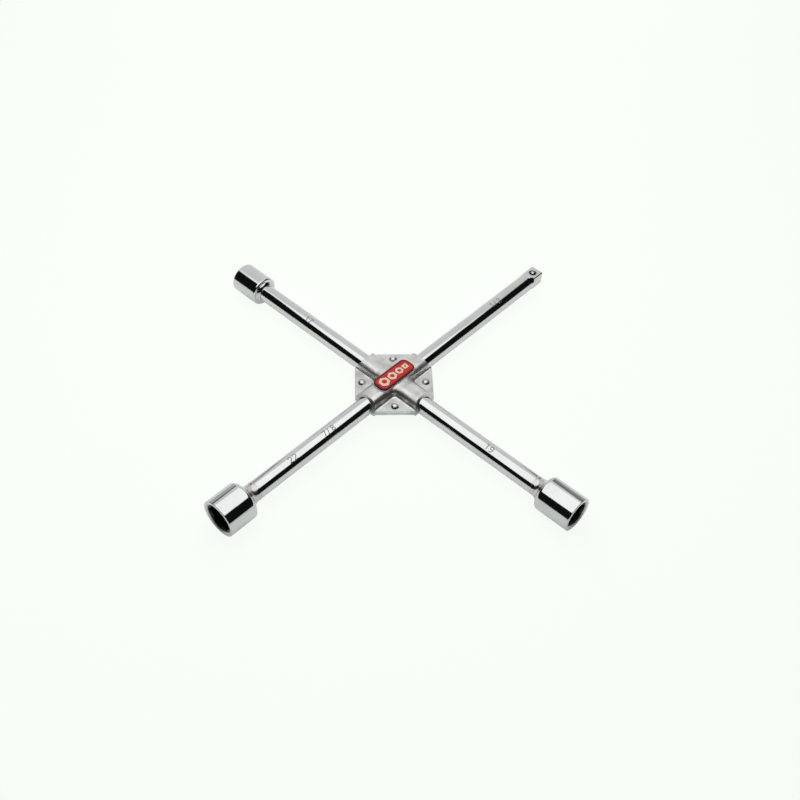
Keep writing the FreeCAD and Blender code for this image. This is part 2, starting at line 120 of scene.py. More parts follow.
# ---- Studio: pale floor, softbox overhead, pale sheets behind, dark room -------------------------
FLOOR_SIZE = 6
FLOOR_Z = -0.01446            # under the crossing of the bars; the tilts bring it to all three sockets
FLOOR_TILT_X = math.atan(0.01243)
FLOOR_TILT_Y = math.atan(0.00378)
FLOOR_FILL = 0.36             # glow that the wrench's underside reflects
FLOOR_SEEN = 0.93             # glow that the lens sees
FLOOR_SHADE = 0.11            # and how much of the studio's light it shows besides
FLOOR_PAINT = (0.78, 0.80, 0.78, 1)
FLOOR_ROUGHNESS = 0.9
PAPER = (0.956, 1.0, 0.948, 1)
ROOM = (0.9, 0.95, 1.0, 1)
ROOM_GLOW = 0.007             # the room round the lamps is nearly dark
SOFTBOX_HEIGHT = 0.55
SOFTBOX_GLOW = 1.335
SOFTBOX_RIGHT = -0.055
SOFTBOX_AWAY = 0.02
SOFTBOX_HALF_WIDTH = 0.51
SOFTBOX_FRONT = 0.40
SOFTBOX_BACK = 0.40
SOFTBOX_ROUND = 2 / 3         # 1 would be an ellipse, 0 a rectangle
SOFTBOX_SKEW = 0.12
SOFTBOX_SIDES = 96
SOFTBOX_FADE = [(0.0, 1.0), (0.93, 1.0), (1.0, 0.0)]
SHEET_DISTANCE = 0.75
SHEET_CORNERS = ((0, 0), (1, 0), (1, 1), (0, 1))
SHEETS = [
    # name, left edge, right edge, height, glow, stops from left to right, stops upwards
    ("back_sheet", -0.53, 0.5, 3.0, 0.83, [(0.0, 0.0), (0.05, 1.0), (0.95, 1.0), (1.0, 0.0)],
     [(0.0, 1.0), (1.0, 0.95)]),
    ("left_sheet", -1.0, -0.53, 0.5, 0.56, [(0.0, 0.0), (0.4, 1.0)],
     [(0.0, 0.8), (0.5, 1.0), (0.82, 0.85), (0.95, 0.1)]),
    ("right_sheet", 0.5, 1.0, 0.8, 0.45, [(0.6, 1.0), (1.0, 0.0)],
     [(0.0, 1.0), (0.2, 0.9), (0.4, 0.65), (0.7, 0.42), (0.95, 0.15)]),
]
TOP_SHEET_LEFT = -0.59
TOP_SHEET_RIGHT = 0.48
TOP_SHEET_NEAR = 0.26
TOP_SHEET_DROP = 0.005        # how far it hangs below the softbox
TOP_SHEET_ACROSS = [(0.0, 0.0), (0.07, 1.0), (0.93, 1.0), (1.0, 0.0)]
TOP_SHEET_AWAY = [(0.0, 1.0), (0.08, 0.97), (0.27, 0.60), (1.0, 0.59)]
VIEW_RIGHT = Vector((math.cos(CAMERA_AZIMUTH), math.sin(CAMERA_AZIMUTH), 0))
VIEW_AWAY = Vector((-math.sin(CAMERA_AZIMUTH), math.cos(CAMERA_AZIMUTH), 0))


def seen_or_not(nodes, links, seen, unseen):
    """Mix of two shaders: seen is what the lens sees straight on, unseen is for light and reflections."""
    rays = add(nodes, "ShaderNodeLightPath")
    mix = add(nodes, "ShaderNodeMixShader")
    links.new(rays.outputs["Is Camera Ray"], mix.inputs["Fac"])
    links.new(unseen.outputs[0], mix.inputs[1])
    links.new(seen.outputs[0], mix.inputs[2])
    return mix


def add_world():
    """Pale paper where the lens sees past the floor, and a nearly dark room for light and reflections."""
    world = bpy.data.worlds.new("studio")
    bpy.context.scene.world = world
    world.use_nodes = True
    nodes, links = world.node_tree.nodes, world.node_tree.links
    nodes.clear()
    paper = add(nodes, "ShaderNodeBackground", in_Color=PAPER, in_Strength=1.0)
    room = add(nodes, "ShaderNodeBackground", in_Color=ROOM, in_Strength=ROOM_GLOW)
    out = add(nodes, "ShaderNodeOutputWorld")
    links.new(seen_or_not(nodes, links, paper, room).outputs[0], out.inputs["Surface"])


def add_floor():
    """Floor that looks evenly pale to the lens and glows softly on the wrench's underside."""
    bpy.ops.mesh.primitive_plane_add(size=FLOOR_SIZE, location=(0, 0, FLOOR_Z))
    floor = bpy.context.object
    floor.name = "floor"
    floor.rotation_euler = (FLOOR_TILT_X, FLOOR_TILT_Y, 0)
    material, nodes, links = new_tree("floor")
    shader = nodes["Principled BSDF"]
    shader.inputs["Base Color"].default_value = FLOOR_PAINT
    shader.inputs["Roughness"].default_value = FLOOR_ROUGHNESS
    glow = add(nodes, "ShaderNodeEmission", in_Color=PAPER, in_Strength=FLOOR_FILL)
    lit = add(nodes, "ShaderNodeAddShader")
    links.new(shader.outputs[0], lit.inputs[0])
    links.new(glow.outputs[0], lit.inputs[1])
    white = add(nodes, "ShaderNodeEmission", in_Color=PAPER, in_Strength=FLOOR_SEEN)
    faint = add(nodes, "ShaderNodeBsdfDiffuse", in_Color=(FLOOR_SHADE, FLOOR_SHADE, FLOOR_SHADE, 1))
    seen = add(nodes, "ShaderNodeAddShader")
    links.new(white.outputs[0], seen.inputs[0])
    links.new(faint.outputs[0], seen.inputs[1])
    out = nodes["Material Output"]
    links.new(seen_or_not(nodes, links, seen, lit).outputs[0], out.inputs["Surface"])
    floor.data.materials.append(material)


def glow_material(name, strength, across, upward=None):
    """Emission that follows one ramp over the sheet's U, or two multiplied over U and V."""
    material, nodes, links = new_tree(name)
    nodes.remove(nodes["Principled BSDF"])
    coords = add(nodes, "ShaderNodeTexCoord")
    split = add(nodes, "ShaderNodeSeparateXYZ")
    links.new(coords.outputs["UV"], split.inputs[0])
    colour = ramp(nodes, links, split.outputs["X"], greys(across)).outputs["Color"]
    if upward:
        tall = ramp(nodes, links, split.outputs["Y"], greys(upward))
        both = add(nodes, "ShaderNodeVectorMath", operation="MULTIPLY")
        links.new(colour, both.inputs[0])
        links.new(tall.outputs["Color"], both.inputs[1])
        colour = both.outputs["Vector"]
    glow = add(nodes, "ShaderNodeEmission", in_Strength=strength)
    links.new(colour, glow.inputs["Color"])
    links.new(glow.outputs[0], nodes["Material Output"].inputs["Surface"])
    return material


def add_glow(name, points, faces, places, material):
    """Glowing sheet that only light and reflections see. places gives each point's U and V."""
    mesh = bpy.data.meshes.new(name)
    mesh.from_pydata(points, [], faces)
    layer = mesh.uv_layers.new(name="place")
    for loop in mesh.loops:
        layer.data[loop.index].uv = places[loop.vertex_index]
    mesh.materials.append(material)
    sheet = bpy.data.objects.new(name, mesh)
    bpy.context.collection.objects.link(sheet)
    sheet.visible_camera = False
    sheet.visible_shadow = False


def add_softbox():
    """Overhead softbox, between round and square and slightly skewed, fading at its rim."""
    centre = VIEW_RIGHT * SOFTBOX_RIGHT + VIEW_AWAY * SOFTBOX_AWAY + Vector((0, 0, SOFTBOX_HEIGHT))
    points, places = [centre], [(0, 0)]
    for i in range(SOFTBOX_SIDES):
        turn = math.tau * i / SOFTBOX_SIDES
        right = math.copysign(abs(math.cos(turn)) ** SOFTBOX_ROUND, math.cos(turn)) * SOFTBOX_HALF_WIDTH
        away = math.copysign(abs(math.sin(turn)) ** SOFTBOX_ROUND, math.sin(turn))
        away *= SOFTBOX_BACK if away > 0 else SOFTBOX_FRONT
        points.append(centre + VIEW_RIGHT * right + VIEW_AWAY * (away + right * SOFTBOX_SKEW))
        places.append((1, 0))
    faces = [(0, i + 1, (i + 1) % SOFTBOX_SIDES + 1) for i in range(SOFTBOX_SIDES)]
    add_glow("softbox", points, faces, places, glow_material("softbox", SOFTBOX_GLOW, SOFTBOX_FADE))


def add_top_sheet():
    """Pale sheet just under the softbox's back edge, reaching from there to the sheet behind the wrench."""
    height = Vector((0, 0, SOFTBOX_HEIGHT - TOP_SHEET_DROP))
    points = [VIEW_RIGHT * right + VIEW_AWAY * away + height for right, away in
              ((TOP_SHEET_LEFT, TOP_SHEET_NEAR), (TOP_SHEET_RIGHT, TOP_SHEET_NEAR),
               (TOP_SHEET_RIGHT, SHEET_DISTANCE), (TOP_SHEET_LEFT, SHEET_DISTANCE))]
    glow = glow_material("top_sheet", SOFTBOX_GLOW, TOP_SHEET_ACROSS, TOP_SHEET_AWAY)
    add_glow("top_sheet", points, [(0, 1, 2, 3)], SHEET_CORNERS, glow)


def add_sheets():
    """Tall pale sheet behind the wrench, with a low grey one beside it on either side."""
    low = VIEW_AWAY * SHEET_DISTANCE
    for name, left, right, height, strength, across, upward in SHEETS:
        points = [low + VIEW_RIGHT * x + Vector((0, 0, z)) for x, z in
                  ((left, 0), (right, 0), (right, height), (left, height))]
        glow = glow_material(name, strength, across, upward)
        add_glow(name, points, [(0, 1, 2, 3)], SHEET_CORNERS, glow)


# ---- Surface patterns and painted shade, all in the frame's own coordinates ----------------------
BRIGHT = (0.655, 0.665, 0.66)
HEAT = (0.60, 0.57, 0.55)     # chrome stained by a weld's heat
PIT = (0.3, 0.3, 0.3)
# painted shade: near-black colour for the deep inside of the sockets
HOLLOW_SHADE = ((0.012, 0.012, 0.013), (0.05, 0.05, 0.052))
# painted shade for the groove round the drive's ball
GROOVE_SHADE = ((0.015, 0.015, 0.014), (0.06, 0.06, 0.057))
NICKEL = ((0.46, 0.465, 0.45), (0.65, 0.655, 0.635), (0.74, 0.735, 0.73))
PORE = (0.34, 0.33, 0.32)
RIVET = ((0.48, 0.475, 0.46), (0.72, 0.72, 0.71))
FOAM = ((0.028, 0.028, 0.028), (0.009, 0.009, 0.009))
WELDS = [
    # axis, place along it, reach of the stain
    ("Y", -162.5 * MM, 8.5 * MM),
    ("X", 159.0 * MM, 5.0 * MM),
]
HEAT_RAGGED = 4.0 * MM        # how far the stain's edge wanders
HEAT_FADE = 0.45              # part of its reach where it starts to fade
HEAT_STRENGTH = 0.6           # of the stain beside its weld
BALL_Y = 192.6 * MM           # the drive's ball
GROOVE_R = 3.8 * MM           # outside of the staking groove round it
GROOVE_FADE = 0.88            # part of that radius where the painted shade starts to fade
DRIVE_TOP = 4.5 * MM          # near the ball, only the drive's upper face is higher than this
LEAD_ANGLE = math.radians(50)
LIGHT_EDGE = 1.5 * MM         # width of the bright edge of a socket's lead-in
LEAD_INS = {
    # axis, radius of the cone at the mouth, place of the mouth, place of the hollow's far end
    "socket_22": ("Y", 14.32 * MM, 197.0 * MM, 171.6 * MM),
    "socket_19": ("X", 12.59 * MM, 197.0 * MM, 170.0 * MM),
    "socket_17": ("X", 11.43 * MM, 195.0 * MM, 174.6 * MM),
}
ALONG_X = (0.06, 1, 1)        # stretch of marks that run along a bar
ALONG_Y = (1, 0.06, 1)


def noise(nodes, links, scale, detail=3.0, stretch=(1, 1, 1)):
    """Noise over the surface, scale in cells to the metre; stretch below 1 draws it out along that axis."""
    coords = add(nodes, "ShaderNodeTexCoord")
    fit = add(nodes, "ShaderNodeMapping", in_Scale=stretch)
    cloud = add(nodes, "ShaderNodeTexNoise", in_Scale=scale, in_Detail=detail)
    links.new(coords.outputs["Object"], fit.inputs["Vector"])
    links.new(fit.outputs["Vector"], cloud.inputs["Vector"])
    return cloud.outputs["Fac"]


def spots(nodes, links, scale, size):
    """Small round spots, scale in cells to the metre, 1 at their middle and 0 between them."""
    coords = add(nodes, "ShaderNodeTexCoord")
    cells = add(nodes, "ShaderNodeTexVoronoi", in_Scale=scale)
    links.new(coords.outputs["Object"], cells.inputs["Vector"])
    return mapped(nodes, links, cells.outputs["Distance"], 0.0, size, 1.0, 0.0)


def mapped(nodes, links, source, from_min, from_max, to_min, to_max):
    """Smooth step from one range to another."""
    node = add(nodes, "ShaderNodeMapRange", interpolation_type="SMOOTHSTEP", in_From_Min=from_min,
               in_From_Max=from_max, in_To_Min=to_min, in_To_Max=to_max)
    links.new(source, node.inputs["Value"])
    return node.outputs["Result"]


def maths(nodes, links, operation, first, second):
    """Result of one operation on two numbers or sockets."""
    node = add(nodes, "ShaderNodeMath", operation=operation)
    for socket, value in zip(node.inputs, (first, second)):
        if isinstance(value, (int, float)):
            socket.default_value = value
        else:
            links.new(value, socket)
    return node.outputs[0]


def blend(nodes, links, amount, first, second):
    """Colour between two colours or sockets."""
    node = add(nodes, "ShaderNodeMix", data_type="RGBA")
    links.new(amount, node.inputs["Factor"])
    for socket, value in zip((node.inputs[6], node.inputs[7]), (first, second)):
        if isinstance(value, tuple):
            socket.default_value = (*value, 1)
        else:
            links.new(value, socket)
    return node.outputs[2]


def between(nodes, links, amount, low, high):
    """Number between two numbers or sockets."""
    node = add(nodes, "ShaderNodeMix", data_type="FLOAT")
    links.new(amount, node.inputs["Factor"])
    for socket, value in zip((node.inputs[2], node.inputs[3]), (low, high)):
        if isinstance(value, (int, float)):
            socket.default_value = value
        else:
            links.new(value, socket)
    return node.outputs[0]


def coordinate(nodes, links, axis):
    """Where the surface is along one axis, in metres from the crossing of the bars."""
    coords = add(nodes, "ShaderNodeTexCoord")
    split = add(nodes, "ShaderNodeSeparateXYZ")
    links.new(coords.outputs["Object"], split.inputs[0])
    return split.outputs[axis]


def bumps(nodes, links, shader, *layers):
    """Stack of bump layers, each (height socket, depth in metres)."""
    last = None
    for height, depth in layers:
        bump = add(nodes, "ShaderNodeBump", in_Strength=1.0, in_Distance=depth)
        links.new(height, bump.inputs["Height"])
        if last:
            links.new(last, bump.inputs["Normal"])
        last = bump.outputs["Normal"]
    links.new(last, shader.inputs["Normal"])


def distance(nodes, links, source, axes):
    """Distance from the origin, measured only along the axes that are 1 in axes."""
    flat = add(nodes, "ShaderNodeVectorMath", operation="MULTIPLY")
    flat.inputs[1].default_value = axes
    length = add(nodes, "ShaderNodeVectorMath", operation="LENGTH")
    links.new(source, flat.inputs[0])
    links.new(flat.outputs["Vector"], length.inputs[0])
    return length.outputs["Value"]


def weld_heat(nodes, links):
    """High on the two necks beside their welds and 0 further along, with an uneven edge."""
    ragged = noise(nodes, links, 260.0)
    total = None
    for axis, weld, reach in WELDS:
        away = maths(nodes, links, "SUBTRACT", coordinate(nodes, links, axis), weld)
        away = maths(nodes, links, "ABSOLUTE", away, 0)
        away = maths(nodes, links, "ADD", away, maths(nodes, links, "MULTIPLY", ragged, HEAT_RAGGED))
        near = mapped(nodes, links, away, reach * HEAT_FADE, reach, HEAT_STRENGTH, 0.0)
        total = near if total is None else maths(nodes, links, "MAXIMUM", total, near)
    return total


def socket_depth(nodes, links, axis, cone_r, mouth, far_end):
    """Two masks on a socket's inner surfaces: all that lies deep, where shade is painted, and the outer
    edge of the lead-in.
    """
    coords = add(nodes, "ShaderNodeTexCoord")
    off_axis = distance(nodes, links, coords.outputs["Object"], (0, 1, 1) if axis == "X" else (1, 0, 1))
    along = maths(nodes, links, "ABSOLUTE", coordinate(nodes, links, axis), 0)
    inward = maths(nodes, links, "SUBTRACT", cone_r, off_axis)
    on_cone = maths(nodes, links, "DIVIDE", inward, math.tan(LEAD_ANGLE))
    past = maths(nodes, links, "SUBTRACT", maths(nodes, links, "SUBTRACT", mouth, along), on_cone)
    inside = maths(nodes, links, "LESS_THAN", off_axis, cone_r + 20 * MICRON)
    within = maths(nodes, links, "MULTIPLY", inside, maths(nodes, links, "GREATER_THAN", along, far_end))
    off_edge = mapped(nodes, links, off_axis, cone_r - LIGHT_EDGE, cone_r - LIGHT_EDGE / 2, 1.0, 0.0)
    below_cone = mapped(nodes, links, past, 0.1 * MM, 0.4 * MM, 0.0, 1.0)
    beyond = maths(nodes, links, "MAXIMUM", off_edge, below_cone)
    deep = maths(nodes, links, "MULTIPLY", within, beyond)
    return deep, maths(nodes, links, "SUBTRACT", within, deep)


def stake_groove_shade(nodes, links):
    """Painted shade: 1 in the groove and on the lip round the drive's ball, 0 elsewhere."""
    coords = add(nodes, "ShaderNodeTexCoord")
    offset = add(nodes, "ShaderNodeVectorMath", operation="SUBTRACT")
    offset.inputs[1].default_value = (0, BALL_Y, 0)
    links.new(coords.outputs["Object"], offset.inputs[0])
    from_ball = distance(nodes, links, offset.outputs["Vector"], (1, 1, 0))
    near = mapped(nodes, links, from_ball, GROOVE_R * GROOVE_FADE, GROOVE_R, 1.0, 0.0)
    on_top = maths(nodes, links, "GREATER_THAN", coordinate(nodes, links, "Z"), DRIVE_TOP)
    return maths(nodes, links, "MULTIPLY", near, on_top)


# ---- Materials -----------------------------------------------------------------------------------
def metal(name):
    """New material for a bare or plated metal."""
    material, nodes, links = new_tree(name)
    shader = nodes["Principled BSDF"]
    shader.inputs["Metallic"].default_value = 1
    return material, nodes, links, shader


def chrome(name, roughness, along, inside=None, staked=False):
    """Bright chrome: polish lines along the arm, handling smudges, pits, and heat stain by the welds.
    inside gives a socket's lead-in and paints shade deep in its hollow, and staked paints shade in the
    groove round the drive's ball."""
    material, nodes, links, shader = metal(name)
    cloud = noise(nodes, links, 45.0, detail=5.0)
    lines = noise(nodes, links, 2600.0, detail=2.0, stretch=along)
    scuff = noise(nodes, links, 520.0, detail=6.0)
    pits = spots(nodes, links, 700.0, 0.16)
    heat = weld_heat(nodes, links)
    stain = noise(nodes, links, 260.0, detail=4.0)
    tone = ramp(nodes, links, cloud, [(0.32, [c * 0.93 for c in BRIGHT]), (0.62, BRIGHT)])
    colour = blend(nodes, links, maths(nodes, links, "MULTIPLY", pits, 0.25), tone.outputs["Color"], PIT)
    heated = ramp(nodes, links, stain, [(0.32, [c * 0.8 for c in HEAT]), (0.68, HEAT)])
    colour = blend(nodes, links, heat, colour, heated.outputs["Color"])
    rough = mapped(nodes, links, scuff, 0.42, 0.72, roughness, roughness * 2.6)
    rough = maths(nodes, links, "ADD", rough, mapped(nodes, links, cloud, 0.5, 0.75, 0.0, roughness))
    rough = between(nodes, links, heat, rough, mapped(nodes, links, stain, 0.3, 0.7, 0.4, 0.26))
    if inside:
        # painted shade deep in the socket's hollow, varied by broach marks; the lead-in's outer edge only
        # gets a rougher finish
        deep_shade_mask, cone = socket_depth(nodes, links, *inside)
        broach = noise(nodes, links, 1500.0, detail=2.0, stretch=along)
        deep_shade_tone = ramp(nodes, links, broach, [(0.35, HOLLOW_SHADE[0]), (0.7, HOLLOW_SHADE[1])])
        colour = blend(nodes, links, deep_shade_mask, colour, deep_shade_tone.outputs["Color"])
        rough = between(nodes, links, deep_shade_mask, between(nodes, links, cone, rough, 0.42), 0.34)
    if staked:
        # painted shade in the groove and on the lip round the drive's ball
        groove_shade_mask = stake_groove_shade(nodes, links)
        groove_shade_tone = ramp(nodes, links, scuff, [(0.4, GROOVE_SHADE[0]), (0.7, GROOVE_SHADE[1])])
        colour = blend(nodes, links, groove_shade_mask, colour, groove_shade_tone.outputs["Color"])
        rough = between(nodes, links, groove_shade_mask, rough, 0.45)
    links.new(colour, shader.inputs["Base Color"])
    links.new(rough, shader.inputs["Roughness"])
    coarse = maths(nodes, links, "MULTIPLY", stain, heat)
    swell = noise(nodes, links, 120.0, detail=2.0)
    bumps(nodes, links, shader, (swell, 22 * MICRON), (lines, 1.2 * MICRON), (scuff, 4.5 * MICRON),
          (coarse, 30 * MICRON))
    return material


def weld_metal(name, dark, middle, roughness, ripple_depth):
    """Chrome over a weld: blotched and slightly satin, with the ripples left by the bead."""
    material, nodes, links, shader = metal(name)
    stain = noise(nodes, links, 520.0, detail=5.0)
    ripple = noise(nodes, links, 1100.0, detail=2.0)
    colour = ramp(nodes, links, stain, [(0.3, dark), (0.55, middle), (0.75, BRIGHT)])
    links.new(colour.outputs["Color"], shader.inputs["Base Color"])
    links.new(mapped(nodes, links, stain, 0.3, 0.7, roughness, roughness * 0.4), shader.inputs["Roughness"])
    bumps(nodes, links, shader, (stain, ripple_depth), (ripple, ripple_depth / 5))
    return material


def satin_plate():
    """Satin nickel on pressed steel: cloudy tone, tumbled grain, dents and small dark pores."""
    material, nodes, links, shader = metal("satin_plate")
    cloud = noise(nodes, links, 95.0, detail=5.0)
    grain = noise(nodes, links, 3200.0, detail=3.0)
    drawn = noise(nodes, links, 900.0, detail=2.0, stretch=(0.25, 0.25, 1))
    pores = spots(nodes, links, 900.0, 0.2)
    tone = ramp(nodes, links, cloud, [(0.3, NICKEL[0]), (0.52, NICKEL[1]), (0.75, NICKEL[2])])
    colour = blend(nodes, links, maths(nodes, links, "MULTIPLY", pores, 0.45), tone.outputs["Color"], PORE)
    links.new(colour, shader.inputs["Base Color"])
    links.new(mapped(nodes, links, cloud, 0.3, 0.7, 0.44, 0.32), shader.inputs["Roughness"])
    bumps(nodes, links, shader, (cloud, 400 * MICRON), (drawn, 20 * MICRON), (grain, 6 * MICRON))
    return material


def rivet_metal():
    """Plated rivet with a hammered dome."""
    material, nodes, links, shader = metal("rivet_steel")
    cloud = noise(nodes, links, 350.0, detail=4.0)
    dints = spots(nodes, links, 1100.0, 0.6)
    tone = ramp(nodes, links, cloud, [(0.35, RIVET[0]), (0.65, RIVET[1])])
    links.new(tone.outputs["Color"], shader.inputs["Base Color"])
    links.new(mapped(nodes, links, cloud, 0.3, 0.7, 0.3, 0.16), shader.inputs["Roughness"])
    bumps(nodes, links, shader, (dints, 60 * MICRON), (cloud, 20 * MICRON))
    return material


def enamel(name, dark, light, roughness):
    """Glossy enamel with a slight orange peel, tone clouds and dust specks."""
    material, nodes, links = new_tree(name)
    shader = nodes["Principled BSDF"]
    cloud = noise(nodes, links, 260.0, detail=4.0)
    dust = spots(nodes, links, 1400.0, 0.14)
    tone = ramp(nodes, links, cloud, [(0.3, dark), (0.65, light)])
    colour = blend(nodes, links, maths(nodes, links, "MULTIPLY", dust, 0.35), tone.outputs["Color"],
                   tuple(c * 0.4 for c in dark))
    links.new(colour, shader.inputs["Base Color"])
    links.new(mapped(nodes, links, cloud, 0.3, 0.7, roughness, roughness * 1.6), shader.inputs["Roughness"])
    shader.inputs["Specular IOR Level"].default_value = 0.3
    shader.inputs["Coat Weight"].default_value = 0.08
    shader.inputs["Coat Roughness"].default_value = 0.15
    peel = noise(nodes, links, 1500.0, detail=2.0)
    bumps(nodes, links, shader, (peel, 20 * MICRON), (cloud, 30 * MICRON))
    return material


def plain_metal(name, dark, light, roughness, scale, depth):
    """Bare metal of one tone range, with a fine grain."""
    material, nodes, links, shader = metal(name)
    grain = noise(nodes, links, scale, detail=4.0)
    cloud = noise(nodes, links, scale / 6, detail=3.0)
    tone = ramp(nodes, links, cloud, [(0.3, dark), (0.7, light)])
    links.new(tone.outputs["Color"], shader.inputs["Base Color"])
    links.new(mapped(nodes, links, grain, 0.3, 0.7, roughness, roughness * 1.6), shader.inputs["Roughness"])
    bumps(nodes, links, shader, (grain, depth))
    return material


def foam_tape():
    """Closed-cell foam, with its cut cells showing at the edge."""
    material, nodes, links = new_tree("adhesive")
    shader = nodes["Principled BSDF"]
    cells = spots(nodes, links, 2600.0, 0.5)
    cloud = noise(nodes, links, 300.0, detail=3.0)
    tone = ramp(nodes, links, cells, [(0.2, FOAM[0]), (0.8, FOAM[1])])
    links.new(tone.outputs["Color"], shader.inputs["Base Color"])
    links.new(mapped(nodes, links, cloud, 0.3, 0.7, 0.75, 0.95), shader.inputs["Roughness"])
    bumps(nodes, links, shader, (cells, 80 * MICRON))
    return material


# A node's own material comes before that of its slot.
MATERIALS = {
    "bar_x": chrome("chrome_bar_x", 0.05, ALONG_X),
    "bar_y": chrome("chrome_bar_y", 0.05, ALONG_Y, staked=True),
    "socket_22": chrome("chrome_socket_22", 0.045, ALONG_Y, LEAD_INS["socket_22"]),
    "socket_19": chrome("chrome_socket_19", 0.045, ALONG_X, LEAD_INS["socket_19"]),
    "socket_17": chrome("chrome_socket_17", 0.045, ALONG_X, LEAD_INS["socket_17"]),
    "weld_17": weld_metal("chrome_weld_17", (0.50, 0.50, 0.50), (0.62, 0.625, 0.62), 0.12, 12 * MICRON),
    "chrome_weld": weld_metal("chrome_weld", (0.44, 0.42, 0.405), HEAT, 0.24, 40 * MICRON),
    "satin_plate": satin_plate(),
    "rivet_steel": rivet_metal(),
    "badge_border": enamel("badge_border", (0.10, 0.002, 0.003), (0.19, 0.005, 0.006), 0.42),
    "badge_red": enamel("badge_red", (0.55, 0.006, 0.006), (0.84, 0.028, 0.022), 0.34),
    "badge_mark": enamel("badge_mark", (0.92, 0.70, 0.46), (1.0, 0.88, 0.66), 0.38),
    "stamp": plain_metal("stamp", (0.16, 0.16, 0.165), (0.34, 0.34, 0.345), 0.4, 2400.0, 40 * MICRON),
    "adhesive": foam_tape(),
    "ball_steel": plain_metal("ball_steel", (0.52, 0.53, 0.54), (0.66, 0.67, 0.68), 0.08, 900.0,
                              4 * MICRON),
    "spring_steel": plain_metal("spring_steel", (0.22, 0.22, 0.24), (0.42, 0.42, 0.45), 0.25, 3000.0,
                                10 * MICRON),
    "raw_weld": plain_metal("raw_weld", (0.12, 0.10, 0.09), (0.34, 0.32, 0.31), 0.5, 1200.0,
                            200 * MICRON),
}


def dress_nodes():
    """Give every CAD node its material."""
    for part in frame["record"]["subparts"]:
        node = frame["nodes"][part["node"]]
        for slot in node.material_slots:
            slot.material = MATERIALS.get(part["node"]) or MATERIALS[part["material_slot"]]


# ---- Thin raised marks: numbers stamped on the bars and pale shapes on the badge -----------------
def rounded(u, v):
    """A corner's place, rounded so that neighbouring quads share it."""
    return (round(u, 7), round(v, 7))


def slab(name, quads, point_at, material):
    """Thin plate of quads laid on a surface, open below. point_at(u, v, level) gives a point, with level 1
    on top and 0 under the surface. Walls go down from the edges that only one quad uses."""
    points, faces, index, edges = [], [], {}, {}

    def corner(u, v, level):
        key = (*rounded(u, v), level)
        if key not in index:
            index[key] = len(points)
            points.append(point_at(u, v, level))
        return index[key]

    for quad in quads:
        faces.append([corner(u, v, 1) for u, v in quad])
        for a, b in zip(quad, quad[1:] + quad[:1]):
            a, b = rounded(*a), rounded(*b)
            if (b, a) in edges:
                del edges[(b, a)]
            else:
                edges[(a, b)] = True
    for a, b in edges:
        faces.append([corner(*a, 0), corner(*b, 0), corner(*b, 1), corner(*a, 1)])
    mesh = bpy.data.meshes.new(name)
    mesh.from_pydata(points, [], faces)
    mesh.materials.append(MATERIALS[material])
    piece = bpy.data.objects.new(name, mesh)
    bpy.context.collection.objects.link(piece)
    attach(piece, BODY)


def stroke(path, half_width):
    """Quads of a ribbon along a path, mitred at its bends."""
    sides = []
    for i, (x, y) in enumerate(path):
        before = Vector(path[i]) - Vector(path[i - 1]) if i else Vector(path[1]) - Vector(path[0])
        after = Vector(path[i + 1]) - Vector(path[i]) if i + 1 < len(path) else before
        across = before.normalized() + after.normalized()
        across = Vector((-across.y, across.x)).normalized()
        reach = half_width / max(MITRE_LEAST, across.dot(Vector((-before.y, before.x)).normalized()))
        step_x, step_y = across.x * reach, across.y * reach
        sides.append(((x - step_x, y - step_y), (x + step_x, y + step_y)))
    return [[a[0], b[0], b[1], a[1]] for a, b in zip(sides, sides[1:])]


MITRE_LEAST = 0.5             # cosine at which a mitre stops growing
DIGITS = {
    # strokes as paths, in units of a digit's height
    "1": [[(0.15, 0.8), (0.42, 1.0), (0.42, 0.5), (0.42, 0.0)]],
    "2": [[(0.02, 0.75), (0.1, 0.93), (0.33, 1.0), (0.56, 0.92), (0.64, 0.74), (0.55, 0.52), (0.28, 0.26),
           (0.0, 0.0), (0.34, 0.0), (0.68, 0.0)]],
    "7": [[(0.0, 1.0), (0.34, 1.0), (0.66, 1.0), (0.42, 0.5), (0.24, 0.0)]],
    "8": [[(0.34, 0.54), (0.1, 0.66), (0.08, 0.86), (0.34, 1.0), (0.6, 0.86), (0.58, 0.66), (0.34, 0.54),
           (0.06, 0.38), (0.06, 0.13), (0.34, 0.0), (0.62, 0.13), (0.62, 0.38), (0.34, 0.54)]],
    "9": [[(0.08, 0.04), (0.34, 0.0), (0.58, 0.16), (0.65, 0.45), (0.65, 0.76), (0.5, 0.96), (0.24, 0.98),
           (0.05, 0.8), (0.06, 0.6), (0.24, 0.46), (0.48, 0.48), (0.64, 0.62)]],
    "/": [[(0.0, -0.08), (0.25, 0.5), (0.5, 1.08)]],
}
DIGIT_STEP = 0.92             # from one digit to the next, in the same units
DIGIT_GAP = 0.25
LONGEST_STEP = 0.4 * MM       # along a stroke, so that it follows the bar's curve
STAMP_HEIGHT = 5.0 * MM
STAMP_HALF_STROKE = 0.36 * MM
STAMP_PROUD = 0.02 * MM
STAMP_SUNK = 0.05 * MM
STAMP_LEAN = math.radians(-14)    # off the bar's top line
BAR_R = 8.0 * MM
STAMPS = [
    # text, arm, distance from the crossing to its middle
    ("22", "-Y", 120.0 * MM),
    ("7/8", "-Y", 80.0 * MM),
    ("19", "+X", 108.0 * MM),
    ("17", "-X", 104.0 * MM),
    ("1/2", "+Y", 134.0 * MM),
]


def finer(path):
    """The same path in steps short enough to follow the bar."""
    points = [path[0]]
    for (ax, ay), (bx, by) in zip(path, path[1:]):
        steps = math.ceil(math.hypot(bx - ax, by - ay) / LONGEST_STEP)
        points += [(ax + (bx - ax) * i / steps, ay + (by - ay) * i / steps) for i in range(1, steps + 1)]
    return points


